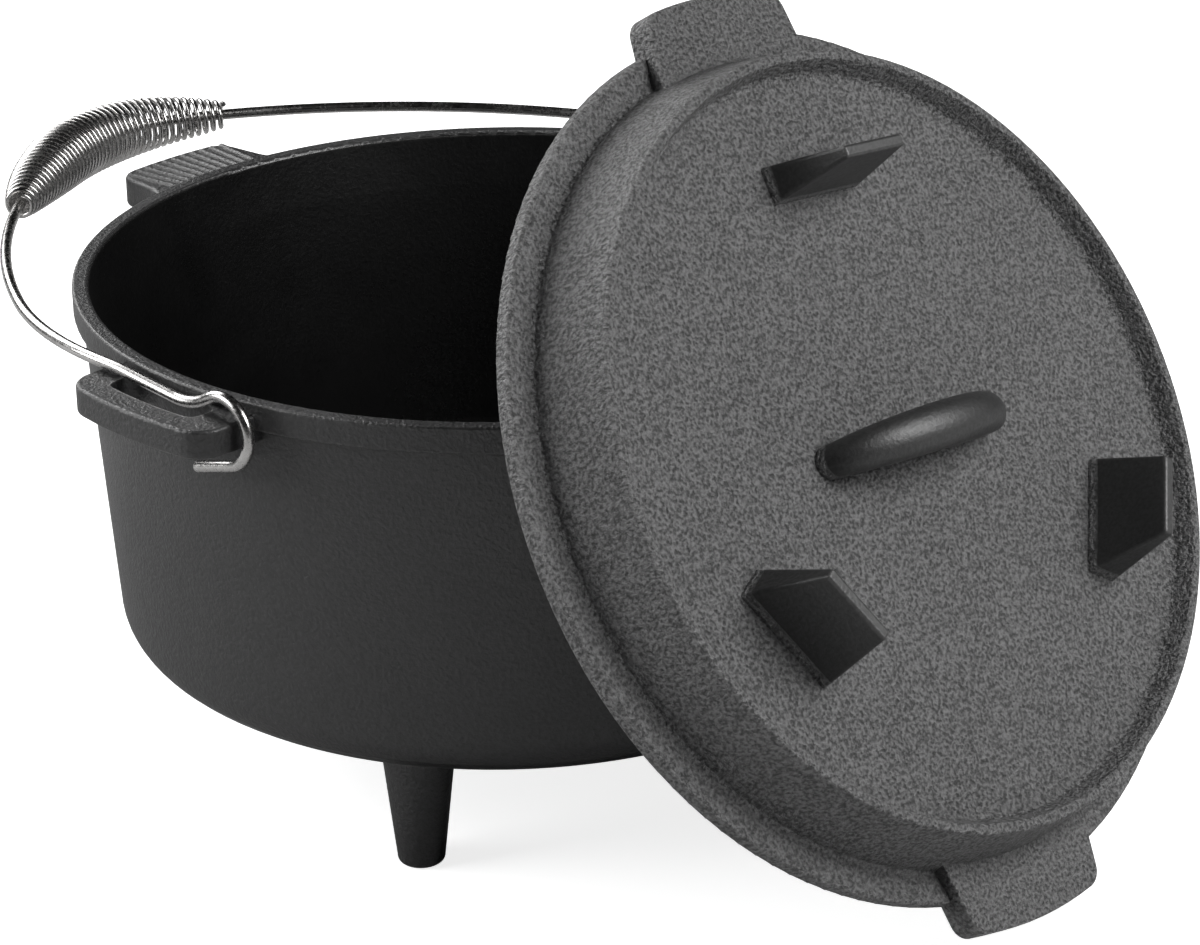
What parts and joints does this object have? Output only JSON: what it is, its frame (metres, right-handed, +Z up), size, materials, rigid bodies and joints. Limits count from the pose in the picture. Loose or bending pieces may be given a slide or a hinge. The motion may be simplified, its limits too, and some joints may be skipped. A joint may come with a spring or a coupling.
{
  "type": "camp dutch oven",
  "caption": "Deep cast iron camp oven on feet, with slotted bail ears, a ribbed lug, a folding wire bail with a coiled spring grip, and a flanged, legged lid leaning on the rim.",
  "frame": {"origin": "point on the floor under the pot's axis, level with the undersides of the three feet", "axes": "+Z up along the pot's axis; +X through one bail ear; +Y through the ribbed lug; the lid leans on the rim at -Y"},
  "size_m": [0.343, 0.4741, 0.2795],
  "materials": {
    "pot_iron": "seasoned, fine sand-cast grain",
    "lid_iron": "seasoned, sand-cast grain",
    "bail_steel": "bright drawn wire",
    "spring_steel": "bright spring wire"
  },
  "bodies": {
    "pot": {"pot_casting": "pot_iron"},
    "bail": {"bail_wire": "bail_steel", "spring_grip": "spring_steel"},
    "lid": {"lid_casting": "lid_iron"}
  },
  "joints": [
    {"name": "bail_hinge", "type": "hinge", "parent": "pot", "child": "bail", "pos_m": [0, -0.0265, 0.165], "axis": [1, 0, 0], "range_deg": [0, 98]},
    {"name": "lid_lift", "type": "slide", "parent": "pot", "child": "lid", "axis": [0.0279, -0.842, 0.5388], "range_m": [0, 0.2]}
  ]
}
